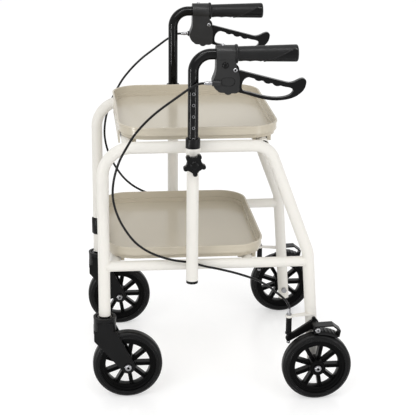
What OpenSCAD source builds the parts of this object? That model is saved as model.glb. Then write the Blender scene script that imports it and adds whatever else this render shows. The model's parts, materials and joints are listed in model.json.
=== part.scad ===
// Indoor walker with two lift-off serving trays, swivelling front wheels and hand-operated rear brakes.
// The user stands at +X and pushes towards -X. The floor is Z = 0, and the middle plane is Y = 0.

/* [Frame] */
// How much farther apart the left and right leg tubes are than the trays are wide
tray_side_room = 12; // [6:1:30]
// Distance from the front legs back to the rear axle
leg_span = 454; // [440:2:470]
// Height of the top rails' axis
top_rail_z = 557; // [547:1:567]
// Height of the lower rails' axis
low_rail_z = 298; // [290:1:306]
// Diameter of the bent side tubes
tube_d = 25; // [24:0.5:26]
// Diameter of the lower rails and cross tubes
rail_d = 22; // [20:0.5:24]
// Wall thickness of the frame tubes
tube_wall = 2; // [1.5:0.1:2.5]
// Bend radius at the top of the front legs
front_bend_r = 60; // [52:1:68]
// Bend radius where the top rails turn into the rear legs
knee_bend_r = 45; // [40:1:52]
// Bend radius where the rear legs turn upright
ankle_bend_r = 60; // [50:1:80]
// Distance from the front legs back to the top rails' rear corner
knee_back = 346; // [338:1:354]
// Distance from the front legs back to the rear legs' lower bend
ankle_back = 436; // [428:1:440]
// Height of the rear legs' lower bend
ankle_z = 318; // [305:1:335]
// Height of the front legs' lower ends
leg_end_z = 188; // [184:1:196]
// Height of the rear legs' lower ends
leg_foot_z = 52; // [44:1:58]

/* [Wheels] */
// Diameter of all four wheels
wheel_d = 150; // [140:2:154]
// Width of the tyres
tyre_w = 30; // [26:1:32]
// Radial thickness of the tyres
tyre_t = 14; // [12:0.5:16]
// Rounding of the tyres' shoulders
tyre_shoulder_r = 9; // [6:0.5:11]
// Width of the wheel rims
rim_w = 25; // [22:1:26]
// Radial thickness of the wheel rims
rim_t = 7; // [5:0.5:9]
// Diameter of the wheel hubs
hub_d = 34; // [30:1:40]
// Length of the wheel hubs
hub_w = 36; // [34:1:38]
// Number of spokes
spoke_count = 9; // [7:1:11]
// Width of a spoke across its face
spoke_w = 8.5; // [6:0.5:10]
// Depth of a spoke along the axle
spoke_t = 16; // [10:1:22]
// Width of the groove along each spoke
spoke_groove_w = 3; // [2:0.5:4]
// Depth of the groove along each spoke
spoke_groove = 2.5; // [1:0.5:4]
// Diameter of the wheel axles
axle_d = 8; // [7:0.5:10]
// Distance from the rear legs out to the rear wheels' middle
rear_wheel_out = 46; // [44:1:50]
// Distance that the front wheels trail behind their swivel axis
caster_trail = 48; // [42:1:54]
// Diameter of the front fork heads
fork_head_d = 48; // [46:1:52]
// Thickness of the fork blades
fork_blade_t = 6; // [5:0.5:7]
// Diameter of the fork ends round the axle
fork_end_d = 30; // [26:1:34]

/* [Handles] */
// Distance from the legs out to the handle sockets
stem_out = 43; // [40:1:46]
// Distance from the front legs back to the handle sockets
stem_back = 183; // [176:1:190]
// Diameter of the handle tubes
handle_d = 22; // [21:0.5:23]
// Height of the sockets' lower ends
stem_bottom_z = 279; // [270:1:282]
// Height of the sockets' flared mouths above the top rails' axis
stem_over_rail = 10; // [5:1:18]
// Depth of the star knobs below the top rails' axis
knob_below_rail = 17; // [14:1:22]
// Step between the height settings
hole_pitch = 23.5; // [22:0.5:25]
// Height of the grips' axis
grip_z = 760; // [745:5:775]
// Bend radius at the top of the handle tubes
handle_bend_r = 36; // [33:1:40]
// Distance from the handle sockets back to the grips' ends
grip_reach = 211; // [205:1:220]
// Length of the grips
grip_l = 128; // [120:1:132]
// Diameter of the grips at the brake lever
grip_d = 30; // [29:0.5:32]
// Diameter of the grips at the end
grip_end_d = 35; // [33:0.5:37]

/* [Brakes] */
// Distance from the handle sockets back to the brake levers' pivots
lever_back = 83; // [80:1:86]
// Height of the brake levers' pivots below the grips' axis
lever_drop = 30; // [28:0.5:33]
// Length of the brake levers from pivot to tip
lever_reach = 146; // [140:1:150]
// Depth of the brake levers' loops below the pivot
lever_fall = 66; // [62:1:70]
// Thickness of the brake levers
lever_t = 12; // [10:0.5:13]
// Length of the lever housings in front of the lever pivot
housing_front = 46; // [44:1:48]
// Depth of the lever housings below the lever pivot
housing_fall = 48; // [46:1:51]
// Half thickness of the lever housings
housing_half_t = 15; // [14:0.5:16]
// Diameter of the brake cables
cable_d = 5; // [4:0.5:5.5]
// Height of the brake arms' pivots above the rear axle
brake_pivot_up = 87; // [86:0.5:90]
// Angle that a brake arm turns from open to braking
brake_open = 2.5; // [1.5:0.5:3]
// Thickness of the brake arms
brake_arm_t = 8; // [7:0.5:9]
// Number of turns of the return springs
spring_turns = 10; // [8:1:11]
// Wire diameter of the return springs
spring_wire = 1.8; // [1.4:0.1:2]
// Outer diameter of the return springs
spring_d = 13; // [12:0.5:14]

/* [Trays] */
// Length of the trays, front to back
tray_l = 338; // [330:2:344]
// Width of the trays, side to side
tray_w = 398; // [380:2:404]
// Height of the trays
tray_h = 26; // [22:1:32]
// Corner radius of the trays
tray_corner_r = 64; // [56:1:70]
// Wall thickness of the trays
tray_wall = 2.5; // [2:0.25:3]
// Distance from the front legs back to the upper tray's front edge
upper_tray_back = 35; // [33:1:37]
// Distance from the front legs back to the lower tray's front edge
lower_tray_back = 8; // [7:0.5:10]

/* [Hidden] */
$fn = 72;

// Colours
cream = [0.94, 0.93, 0.9];
tray_beige = [0.74, 0.7, 0.61];
satin_black = [0.1, 0.1, 0.1];
rubber_black = [0.16, 0.16, 0.16];
steel = [0.78, 0.78, 0.8];

// Clearances and the overrun of cuts
overrun = 2;
slide_gap = 0.3;
run_gap = 0.05;
bolt_gap = 0.1;

// Main places
front_x = -(caster_trail + leg_span) / 2;
rear_x = front_x + leg_span;
track = tray_w + tray_side_room;
leg_y = track / 2;
tube_r = tube_d / 2;
rail_r = rail_d / 2;
wheel_r = wheel_d / 2;
stem_x = front_x + stem_back;
stem_top_z = top_rail_z + stem_over_rail;
knob_z = top_rail_z - knob_below_rail;
stem_y = leg_y + stem_out;
rear_wheel_y = leg_y + rear_wheel_out;
knee = [front_x + knee_back, top_rail_z];
ankle = [front_x + ankle_back, ankle_z];
rear_axle = [rear_x, wheel_r];
bend_lap = 0.5;
bend_swell = 0.1;
foot = ankle + (rear_axle - ankle) * (ankle_z - leg_foot_z) / (ankle_z - wheel_r);
side_path = [[front_x, leg_end_z], [front_x, top_rail_z], knee, ankle, foot];
side_bends = [front_bend_r, knee_bend_r, ankle_bend_r];

// Tray details, measured from the tray's front edge and base
tray_base_inset = 6;
tray_side_inset = 1.5;
tray_ledge_h = 11;
tray_rim_h = 3;
tray_lip_t = 3;
tray_lip_end = 4;
tray_lip_w = tray_w - 2 * (tray_corner_r + tray_lip_end);
tray_lip_drop = 22;
tray_front_tube = 17.5;
tray_rear_tube = 301;
clip_t = 8;
clip_drop = 12;
clip_l = 55;
clip_edge = 30;
upper_tube_z = top_rail_z + tube_r - rail_r + slide_gap;
lower_tube_z = low_rail_z + slide_gap;
upper_tray_z = upper_tube_z + rail_r + slide_gap;
lower_tray_z = lower_tube_z + rail_r + slide_gap;
upper_tray_x = front_x + upper_tray_back;
lower_tray_x = front_x + lower_tray_back;

// Handle socket details
stem_d = tube_d;
stem_bore = handle_d + 2 * slide_gap;
cup_d = 31;
cup_h = 8;
cup_flare_h = 12;
cup_bore = 27;
cup_depth = 14;
collar_d = 30;
collar_h = 20;
top_post_d = 19;
low_post_d = 14;
boss_d = 16;
boss_h = 7;
screw_d = 8;
end_cap_h = 6;
end_plug_h = 12;

// Star knob details
knob_lobes = 5;
knob_angle = -85;
knob_core_d = 34;
knob_lobe_d = 9.8;
knob_lobe_r = 19.1;
knob_arm_root_w = 15;
knob_arm_tip_w = 8.8;
knob_scoop_d = 18;
knob_scoop_r = 24.8;
knob_t = 14;
knob_neck_d = 18;
knob_neck_h = 5;
knob_dome_d = 17;
knob_dome_h = 3;
knob_screw_in = 6;

// Handle tube and grip details
handle_below_knob = 110;
handle_bottom_z = knob_z - handle_below_knob;
hole_d = 6;
holes_below = 2;
holes_above = 6;
grip_flange_d = 39;
grip_flange_t = 6;
grip_cap_t = 4;
grip_round = 4;
finger_count = 3;
finger_pitch = 21;
finger_r = 26;
finger_depth = 2;
finger_start = 20;
grip_end_x = stem_x + grip_reach;
grip_start_x = grip_end_x - grip_l;

// Lever housing, in the lever's plane from the lever pivot
lever_pivot = [stem_x + lever_back, grip_z - lever_drop];
clamp_d = 36;
clamp_l = 40;
clamp_rear = grip_start_x - lever_pivot.x + overrun;
clamp_front = clamp_rear - clamp_l;
slot_front = -13;
slot_top = 10;
pivot_d = 6;
pivot_head_d = 9;
pivot_head_t = 2;
dome_front = -20;
dome_up = 10;
dome_d = 13;
dome_h = 3.5;
oval_front = -20;
oval_rear = -9;
oval_down = -24;
oval_d = 17;
oval_depth = 0.8;
scallop_d = 18;
lug_at = -26;
lug_out = 16;
lug_d = 12;
lug_from = -47;
lug_to = -30;
ferrule_d = 8;
ferrule_l = 16;
clamp_screw_d = 7;
clamp_screw_h = 2.5;
clamp_screw_at = -24;
curve_steps = 8;
housing_size = [housing_front, housing_fall];
housing_shares = concat(
  [[-0.83, 0.1]],
  bezier([-0.83, 0.1], [-0.83, -0.25], [-0.96, -0.33], [-0.98, -0.5], curve_steps),
  bezier([-0.98, -0.5], [-1, -0.71], [-0.83, -0.88], [-0.61, -0.96], curve_steps),
  [[0, -1]],
  bezier([0, -1], [0.2, -0.92], [0.2, -0.63], [0.2, -0.38], curve_steps),
  bezier([0.2, -0.38], [0.2, -0.13], [0.04, 0], [0.04, 0.3], curve_steps)
);
housing_outline = concat(
  [[clamp_front, lever_drop]],
  scaled(housing_shares, housing_size),
  [[clamp_rear, lever_drop]]
);
scallop_shares = [[-0.61, -0.77], [-0.3, -0.87], [0, -0.81]];

// Brake lever, in its own plane from its pivot
lever_eye_d = 18;
lever_size = [lever_reach, lever_fall];
lever_shares = concat(
  [[0.02, -0.02], [0.73, -0.44]],
  bezier([0.73, -0.44], [0.82, -0.49], [0.87, -0.36], [0.93, -0.33], curve_steps),
  bezier([0.93, -0.33], [0.98, -0.3], [1.01, -0.38], [1, -0.47], curve_steps),
  bezier([1, -0.47], [0.99, -0.64], [0.96, -0.73], [0.9, -0.82], curve_steps),
  bezier([0.9, -0.82], [0.84, -0.94], [0.71, -1], [0.59, -1], curve_steps),
  bezier([0.59, -1], [0.4, -1], [0.23, -0.82], [0.03, -0.71], curve_steps),
  bezier([0.03, -0.71], [-0.06, -0.67], [-0.07, -0.38], [-0.04, 0.06], curve_steps)
);
window_shares = concat(
  bezier([0.1, -0.55], [0.1, -0.38], [0.14, -0.26], [0.2, -0.26], curve_steps),
  [[0.71, -0.58]],
  bezier([0.71, -0.58], [0.78, -0.59], [0.82, -0.64], [0.82, -0.7], curve_steps),
  bezier([0.82, -0.7], [0.82, -0.83], [0.73, -0.91], [0.6, -0.91], curve_steps),
  bezier([0.6, -0.91], [0.44, -0.91], [0.29, -0.77], [0.16, -0.71], curve_steps),
  bezier([0.16, -0.71], [0.12, -0.69], [0.1, -0.65], [0.1, -0.55], curve_steps)
);
bump_shares = [[0.34, -0.2], [0.47, -0.29], [0.6, -0.37]];
finger_bump_d = 24;

// Rear brake, in the wheel's plane from the rear axle
brake_pivot_front = 2;
brake_pivot = rear_axle + [-brake_pivot_front, brake_pivot_up];
brake_washer_t = 2;
brake_arm_y = leg_y + tube_r + brake_washer_t + brake_arm_t / 2;
brake_eye_d = 18;
brake_washer_d = 15;
brake_stud_d = 8;
brake_head_d = 11;
brake_head_t = 3;
arm_front = 56;
arm_drop = 34;
arm_end = brake_pivot - [arm_front, arm_drop];
arm_end_d = 12;
spring_cup_d = 15;
spring_cup_t = 3;
spring_cup_up = 11;
pad_from = 57;
pad_to = 90;
pad_set_back = 1;
shoe_to = 97;
pad_t = 4;
shoe_t = 2.5;
shoe_w = 28;
strip_t = 3;
strap_start = -7;
strap_up = 6.5;
strap_l = 34;
strap_curl = 3;
strap_w = 24;
strap_inset = 0.5;
strap_out_y = rear_wheel_y + shoe_w / 2 - strap_inset;
brake_hub_d = 14;
brake_hub_y = rear_wheel_y + shoe_w / 2 + slide_gap;
lug_up = 9;
lug_back = -1;
lug_root_d = 14;
lug_tip_d = 9;
cup_neck_d = 9.5;
rib_count = 7;
rib_d = 3;
wire_d = 1.6;
wire_hole_d = 3;
wire_slot_d = 5.4;
nipple_d = 8;
nipple_h = 5;
bracket_t = 4;
bracket_root_d = 14;
bracket_root_in = 5;
ring_d = 16;
ring_h = 5;
ring_z = 177;
ring_at = [arm_end.x, brake_arm_y, ring_z];
adjuster_d = 7;
adjuster_h = 15;
adjuster_foot = 1;
lock_nut_d = 11;
lock_nut_h = 4;
spring_low_z = arm_end.y + spring_cup_up + spring_cup_t + run_gap;

// Return spring: a helix from the arm's cup up to the bracket's ring
spring_rings = 8;
spring_sides = 6;
spring_mean_r = (spring_d - spring_wire) / 2;
spring_h = ring_at.z - spring_low_z - spring_wire;
spring_pitch = spring_h / spring_turns;
spring_step = 360 / spring_rings;
spring_arc = [for (i = [0:spring_turns * spring_rings])
  [spring_mean_r * cos(i * spring_step), spring_mean_r * sin(i * spring_step),
   spring_pitch * i / spring_rings]];
spring_path = concat(
  [spring_arc[0] + [0, -spring_wire, 0]],
  spring_arc,
  [spring_arc[len(spring_arc) - 1] + [0, spring_wire, 0]]
);
spring_gap = min([for (i = [0:len(spring_arc) - spring_rings - 1])
  norm(spring_arc[i + spring_rings] - spring_arc[i])]) - spring_wire;
echo("least gap between the spring's turns", spring_gap);

// Brake cable: places behind the front legs, out from the legs and above the floor
cable_sides = 8;
cable_steps = 2;
cable_lead = 2;
cable_start = [lever_pivot.x + lug_from - ferrule_l - slide_gap, stem_y + lug_out,
  lever_pivot.y + lug_at];
cable_end = [ring_at.x, ring_at.y, ring_at.z + ring_h + adjuster_h - adjuster_foot + slide_gap];
cable_middle = [
  [188, 59, 701.3], [170, 59, 691], [152, 58.5, 678], [133, 57, 664], [113, 56, 649], [94, 54, 632],
  [77, 52, 614], [62, 50, 595], [48, 47.5, 571], [35, 44.5, 546], [26, 41.5, 520], [20.5, 38.5, 494],
  [19, 36, 467], [23, 33, 440], [32, 31, 413], [46, 28.5, 386], [64, 26.5, 361], [87, 24, 341],
  [115, 22, 326], [148, 20, 315], [183, 20, 309], [212, 20, 300], [245, 20, 292], [283, 20, 281],
  [322, 19.5, 266], [349, 19.5, 250], [367, 19, 235], [381, 19, 223], [390.5, 18.7, 212]
];
cable_points = concat(
  [for (k = [0:2]) cable_start - [k * cable_lead, 0, 0]],
  [for (p = cable_middle) [front_x + p.x, leg_y + p.y, p.z]],
  [for (k = [2:-1:0]) cable_end + [0, 0, k * cable_lead]]
);
cable_path = smooth_path(cable_points, cable_steps);

// Front fork, from the swivel axis
fork_gap = hub_w + 2 * slide_gap;
fork_half_w = fork_gap / 2 + fork_blade_t;
fork_top_gap = 2;
fork_top_z = leg_end_z - fork_top_gap;
fork_recess_d = 38;
fork_recess_h = 9;
fork_rim_h = 4;
fork_rim_out = 0.5;
fork_rim_d = fork_head_d + 2 * fork_rim_out;
crown_gap = 4;
crown_z = wheel_d + crown_gap;
crown_l = 34;
blade_rise = 3;
blade_front_drop = 17;
socket_neck_d = 19;
bearing_d = 32;
pin_d = 12;
pin_flange_d = 20;
pin_flange_h = 4;
socket_flange_h = 3;
socket_plug_h = 35;
bolt_head_d = 14;
bolt_head_h = 5;
nut_d = 14;
nut_h = 6;
spacer_d = 16;
plug_flange_h = 3;
plug_h = 10;

// Sleeve on the right front leg
sleeve_d = 31;
sleeve_z = 232;
sleeve_h = 42;
sleeve_chamfer = 3;

function unit(v) = v / norm(v);

// Signed turn at b on the way from a to c
function turn(a, b, c) =
  let (u = unit(b - a), v = unit(c - b))
  atan2(u.x * v.y - u.y * v.x, u * v);

// Length of a bend's tangent at b
function tangent_length(a, b, c, r) = r * tan(abs(turn(a, b, c)) / 2);

// Outline of a strip of the thickness t along a bent line, with mitred corners
function strip(pts, t) =
  let (
    last = len(pts) - 1,
    ways = [for (i = [0:last - 1]) unit(pts[i + 1] - pts[i])],
    sides = [for (w = ways) [-w.y, w.x]],
    mitres = [for (i = [0:last])
      let (a = sides[max(i - 1, 0)], b = sides[min(i, last - 1)])
      (a + b) / (1 + a * b) * t / 2]
  )
  concat([for (i = [0:last]) pts[i] + mitres[i]], [for (i = [last:-1:0]) pts[i] - mitres[i]]);

// Points given in shares of a size
function scaled(shares, size) = [for (p = shares) [p.x * size.x, p.y * size.y]];

// Points of a cubic curve after its start
function bezier(a, b, c, d, steps) = [
  for (i = [1:steps])
    let (t = i / steps, s = 1 - t)
    s * s * s * a + 3 * s * s * t * b + 3 * s * t * t * c + t * t * t * d
];

// Smooth path through the points p, with the given number of steps between neighbours
function smooth_path(p, steps) = [
  for (i = [0:len(p) - 2], k = [0:i == len(p) - 2 ? steps : steps - 1])
    let (
      t = k / steps,
      a = p[max(i - 1, 0)],
      b = p[i],
      c = p[i + 1],
      d = p[min(i + 2, len(p) - 1)]
    )
    (2 * b + t * (c - a) + t * t * (2 * a - 5 * b + 4 * c - d) + t * t * t * (3 * b - a - 3 * c + d)) / 2
];

// Place where a line from p touches the circle round c, on the given side
function tangent_point(p, c, r, side) =
  let (heading = atan2(p.y - c.y, p.x - c.x) + side * acos(r / norm(p - c)))
  c + r * [cos(heading), sin(heading)];

// Place along a rear leg's lower stretch at the height z
function leg_x(z) = ankle.x + (rear_axle.x - ankle.x) * (ankle.y - z) / (ankle.y - rear_axle.y);

module left() {
  mirror([0, 1, 0]) children();
}

module both() {
  children();
  left() children();
}

module rod_x(d, from, to) {
  translate([from, 0, 0]) rotate([0, 90, 0]) cylinder(d = d, h = to - from);
}

module rod_y(d, from, to) {
  translate([0, from, 0]) rotate([-90, 0, 0]) cylinder(d = d, h = to - from);
}

module rod_z(d, from, to) {
  translate([0, 0, from]) cylinder(d = d, h = to - from);
}

// Straight rod between two places in the XZ plane
module rod_between(a, b, d) {
  translate([a.x, 0, a.y]) rotate([0, atan2(b.x - a.x, b.y - a.y), 0]) cylinder(d = d, h = norm(b - a));
}

// Bent rod in the XZ plane through the corners pts, rounded by radii and longer by extra at both ends.
// The bends are a hair fuller than the straights, which reach a little way into them.
module bent_rod(pts, radii, d, extra = 0) {
  last = len(pts) - 1;
  for (i = [0:last - 1]) {
    along = unit(pts[i + 1] - pts[i]);
    start_cut = i == 0 ? -extra : tangent_length(pts[i - 1], pts[i], pts[i + 1], radii[i - 1]) - bend_lap;
    end_cut = i == last - 1 ? -extra : tangent_length(pts[i], pts[i + 1], pts[i + 2], radii[i]) - bend_lap;
    rod_between(pts[i] + along * start_cut, pts[i + 1] - along * end_cut, d);
  }
  for (i = [1:last - 1]) {
    sweep = turn(pts[i - 1], pts[i], pts[i + 1]);
    along = unit(pts[i] - pts[i - 1]);
    r = radii[i - 1];
    bend_start = pts[i] - along * tangent_length(pts[i - 1], pts[i], pts[i + 1], r);
    centre = bend_start + sign(sweep) * r * [-along.y, along.x];
    from = atan2(bend_start.y - centre.y, bend_start.x - centre.x);
    translate([centre.x, 0, centre.y])
      rotate([90, 0, 0])
        rotate([0, 0, min(from, from + sweep)])
          rotate_extrude(angle = abs(sweep)) translate([r, 0]) circle(d = d + bend_swell);
  }
}

module side_rod(d, extra = 0) {
  translate([0, leg_y, 0]) bent_rod(side_path, side_bends, d, extra);
}

module top_rail_rod(d) {
  translate([0, leg_y, top_rail_z]) rod_x(d, front_x, knee.x);
}

module rear_leg_rod(d) {
  translate([0, leg_y, 0]) rod_between(ankle, foot, d);
}

module low_rail_rod(d, extra = 0) {
  translate([0, leg_y, low_rail_z]) rod_x(d, front_x - extra, leg_x(low_rail_z) + extra);
}

// Flat outline of a link with round ends of the radii r1 and r2
module link(c1, r1, c2, r2) {
  d = norm(c2 - c1);
  heading = atan2(c2.y - c1.y, c2.x - c1.x);
  side = acos((r1 - r2) / d);
  a = [cos(heading + side), sin(heading + side)];
  b = [cos(heading - side), sin(heading - side)];
  polygon([c1 + r1 * a, c2 + r2 * a, c2 + r2 * b, c1 + r1 * b]);
  translate(c1) circle(r = r1);
  translate(c2) circle(r = r2);
}

// Stands an outline of the XZ plane up between two places along Y
module upright(from, to) {
  translate([0, to, 0]) rotate([90, 0, 0]) linear_extrude(to - from) children();
}

module rounded_rect(l, w, r) {
  translate([r, -w / 2]) square([l - 2 * r, w]);
  translate([0, r - w / 2]) square([l, w - 2 * r]);
  for (x = [r, l - r], y = [r - w / 2, w / 2 - r]) translate([x, y]) circle(r = r);
}

// Tube of the diameter d swept along a path, with its rings turned from the direction ref
module swept_tube(path, d, sides, ref) {
  last = len(path) - 1;
  rings = [for (i = [0:last])
    let (
      t = unit(path[min(i + 1, last)] - path[max(i - 1, 0)]),
      u = unit(cross(t, ref)),
      v = cross(t, u)
    )
    for (k = [0:sides - 1])
      path[i] + d / 2 * (cos(360 * k / sides) * u + sin(360 * k / sides) * v)];
  walls = [for (i = [0:last - 1], k = [0:sides - 1])
    let (n = (k + 1) % sides)
    for (half = [0, 1])
      half == 0
        ? [i * sides + k, (i + 1) * sides + k, (i + 1) * sides + n]
        : [i * sides + k, (i + 1) * sides + n, i * sides + n]];
  start_cap = [for (k = [0:sides - 1]) k];
  end_cap = [for (k = [sides - 1:-1:0]) last * sides + k];
  polyhedron(rings, concat(walls, [start_cap, end_cap]));
}

// Bent side tube: front leg, top rail and rear leg in one piece
module side_frame() {
  color(cream) difference() {
    side_rod(tube_d);
    side_rod(tube_d - 2 * tube_wall, overrun);
    translate([rear_x, 0, wheel_r]) rod_y(axle_d + 2 * bolt_gap, leg_y - tube_d, leg_y + tube_d);
  }
}

module lower_rail() {
  color(cream) difference() {
    low_rail_rod(rail_d);
    low_rail_rod(rail_d - 2 * tube_wall, overrun);
    translate([front_x, leg_y, low_rail_z]) rod_z(tube_d, -tube_d, tube_d);
    rear_leg_rod(tube_d + 2 * slide_gap);
  }
}

// Cross tube between the two sides, with its ends fitted to the side tubes
module cross_tube(x, z) {
  color(cream) difference() {
    translate([x, 0, z]) rod_y(rail_d, -leg_y, leg_y);
    translate([x, 0, z]) rod_y(rail_d - 2 * tube_wall, -leg_y - overrun, leg_y + overrun);
    both() side_rod(tube_d);
    both() low_rail_rod(rail_d);
  }
}

// Upright socket tube with a flared mouth, a threaded boss and two posts to the rails
module handle_socket() {
  color(cream) difference() {
    union() {
      translate([stem_x, stem_y, 0]) {
        rod_z(stem_d, stem_bottom_z, stem_top_z);
        rod_z(cup_d, stem_top_z - cup_h, stem_top_z);
        translate([0, 0, stem_top_z - cup_h - cup_flare_h])
          cylinder(d1 = stem_d, d2 = cup_d, h = cup_flare_h);
        translate([0, 0, knob_z]) rod_y(boss_d, 0, stem_d / 2 + boss_h);
      }
      translate([stem_x, 0, top_rail_z]) rod_y(top_post_d, leg_y, stem_y);
      translate([stem_x, 0, low_rail_z]) rod_y(low_post_d, leg_y, stem_y);
    }
    translate([stem_x, stem_y, 0]) {
      rod_z(stem_bore, stem_bottom_z - overrun, stem_top_z + overrun);
      rod_z(cup_bore, stem_top_z - cup_depth, stem_top_z + overrun);
      translate([0, 0, knob_z]) rod_y(screw_d + 2 * run_gap, 0, stem_d + boss_h);
    }
    top_rail_rod(tube_d);
    low_rail_rod(rail_d);
  }
}

// Plastic guide bush in the socket's mouth
module socket_collar() {
  color(satin_black) translate([stem_x, stem_y, 0]) difference() {
    union() {
      rod_z(collar_d, stem_top_z, stem_top_z + collar_h);
      rod_z(cup_bore, stem_top_z - cup_depth, stem_top_z);
    }
    rod_z(handle_d + 2 * run_gap, stem_top_z - cup_depth - overrun, stem_top_z + collar_h + overrun);
  }
}

module socket_end_cap() {
  color(satin_black) translate([stem_x, stem_y, 0]) {
    rod_z(stem_d, stem_bottom_z - end_cap_h, stem_bottom_z);
    rod_z(stem_bore, stem_bottom_z, stem_bottom_z + end_plug_h);
  }
}

// Plug in a rear leg's lower end
module rear_leg_plug() {
  along = unit(foot - ankle);
  color(satin_black) translate([0, leg_y, 0]) {
    rod_between(foot, foot + along * plug_flange_h, tube_d);
    rod_between(foot - along * plug_h, foot + along * plug_flange_h / 2, tube_d - 2 * tube_wall);
  }
}

// Bush pressed into a front leg, with the bearing that the fork turns on
module caster_socket() {
  color(steel) translate([front_x, leg_y, 0]) difference() {
    union() {
      rod_z(tube_d - 2 * tube_wall, leg_end_z, leg_end_z + socket_plug_h);
      translate([0, 0, leg_end_z - socket_flange_h])
        cylinder(d1 = socket_neck_d, d2 = tube_d, h = socket_flange_h);
      rod_z(bearing_d, fork_top_z - fork_recess_h, leg_end_z - socket_flange_h);
    }
    rod_z(pin_d, fork_top_z - fork_recess_h - overrun, leg_end_z + socket_plug_h + overrun);
  }
}

// Swivel pin with the flange that carries the fork
module caster_pin() {
  color(steel) translate([front_x, leg_y, 0]) {
    rod_z(pin_d, crown_z - pin_flange_h, leg_end_z + socket_plug_h);
    rod_z(pin_flange_d, crown_z - pin_flange_h, crown_z);
  }
}

// Fork with a round head and two slanting blades that narrow towards the axle
module caster_fork() {
  axle = [front_x + caster_trail, wheel_r];
  end_r = fork_end_d / 2;
  blade_front = front_x - fork_head_d / 2;
  blade_top = crown_z + blade_rise;
  front_corner = [blade_front, crown_z - blade_front_drop];
  rear_corner = [front_x + fork_head_d / 2, blade_top];
  color(satin_black) translate([0, leg_y, 0]) difference() {
    union() {
      translate([front_x, 0, 0]) {
        rod_z(fork_head_d, crown_z, fork_top_z);
        rod_z(fork_rim_d, fork_top_z - fork_rim_h, fork_top_z);
        translate([-crown_l / 2, -fork_half_w, crown_z])
          cube([crown_l, 2 * fork_half_w, fork_top_z - fork_recess_h - crown_z]);
      }
      for (side = [0, 1]) mirror([0, side, 0])
        upright(fork_gap / 2, fork_half_w) {
          polygon([[blade_front, blade_top], front_corner, tangent_point(front_corner, axle, end_r, 1),
            tangent_point(rear_corner, axle, end_r, -1), rear_corner]);
          translate(axle) circle(r = end_r);
        }
    }
    translate([front_x, 0, 0]) {
      rod_z(fork_recess_d, fork_top_z - fork_recess_h, fork_top_z + overrun);
      rod_z(pin_d + 2 * run_gap, crown_z - overrun, fork_top_z);
    }
    translate([axle.x, 0, axle.y]) rod_y(axle_d + 2 * bolt_gap, -fork_head_d, fork_head_d);
  }
}

// Axle bolt with its head at the outer blade and its nut at the inner blade
module front_axle() {
  color(steel) translate([front_x + caster_trail, leg_y, wheel_r]) {
    rod_y(axle_d, -fork_half_w - nut_h, fork_half_w);
    rod_y(bolt_head_d, fork_half_w, fork_half_w + bolt_head_h);
    translate([0, -fork_half_w - nut_h, 0]) rotate([-90, 0, 0]) cylinder(d = nut_d, h = nut_h, $fn = 6);
  }
}

// Spoked wheel round its own axle, which lies along Y
module wheel_core() {
  rim_r = wheel_r - tyre_t;
  spoke_l = rim_r - rim_t / 2;
  color(satin_black) rotate([90, 0, 0]) difference() {
    union() {
      difference() {
        cylinder(r = rim_r, h = rim_w, center = true);
        cylinder(r = rim_r - rim_t, h = rim_w + overrun, center = true);
      }
      cylinder(d = hub_d, h = hub_w, center = true);
      for (k = [0:spoke_count - 1]) rotate([0, 0, 360 * k / spoke_count]) difference() {
        translate([0, -spoke_w / 2, -spoke_t / 2]) cube([spoke_l, spoke_w, spoke_t]);
        for (face = [0, 1]) mirror([0, 0, face])
          translate([hub_d / 2 + overrun, -spoke_groove_w / 2, spoke_t / 2 - spoke_groove])
            cube([rim_r - rim_t - hub_d / 2 - 2 * overrun, spoke_groove_w, spoke_t]);
      }
    }
    cylinder(d = axle_d + 2 * run_gap, h = hub_w + overrun, center = true);
  }
}

// Tyre with round shoulders
module tyre() {
  rim_r = wheel_r - tyre_t;
  color(rubber_black) rotate([90, 0, 0]) rotate_extrude() intersection() {
    translate([rim_r, -tyre_w / 2]) square([tyre_t, tyre_w]);
    union() {
      translate([rim_r, -tyre_w / 2]) square([tyre_t - tyre_shoulder_r, tyre_w]);
      translate([rim_r, tyre_shoulder_r - tyre_w / 2]) square([tyre_t, tyre_w - 2 * tyre_shoulder_r]);
      for (side = [-1, 1])
        translate([wheel_r - tyre_shoulder_r, side * (tyre_w / 2 - tyre_shoulder_r)])
          circle(r = tyre_shoulder_r);
    }
  }
}

module at_front_wheel() {
  translate([front_x + caster_trail, leg_y, wheel_r]) children();
}

module at_rear_wheel() {
  translate([rear_x, rear_wheel_y, wheel_r]) children();
}

// Axle bolt of a rear wheel, with the spacer that holds the wheel off the leg
module rear_axle_set() {
  hub_in = rear_wheel_y - hub_w / 2;
  hub_out = rear_wheel_y + hub_w / 2;
  nut_face = leg_y - tube_r;
  color(steel) {
    translate([rear_x, 0, wheel_r]) {
      rod_y(axle_d, nut_face - nut_h, hub_out + bolt_gap);
      rod_y(bolt_head_d, hub_out + bolt_gap, hub_out + bolt_gap + bolt_head_h);
      translate([0, nut_face - nut_h, 0]) rotate([-90, 0, 0]) cylinder(d = nut_d, h = nut_h, $fn = 6);
    }
    difference() {
      translate([rear_x, 0, wheel_r]) rod_y(spacer_d, leg_y, hub_in - bolt_gap);
      rear_leg_rod(tube_d);
    }
  }
}

// Bracket on a rear leg that holds the cable's adjuster
module brake_bracket() {
  color(cream) difference() {
    union() {
      translate(ring_at) rod_z(ring_d, 0, ring_h);
      translate([0, 0, ring_at.z]) linear_extrude(bracket_t)
        link([ring_at.x, ring_at.y], bracket_t, [leg_x(ring_at.z), leg_y + tube_r - bracket_root_in],
          bracket_root_d / 2);
    }
    translate(ring_at) rod_z(adjuster_d, -overrun, ring_h + overrun);
    rear_leg_rod(tube_d);
  }
}

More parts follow.
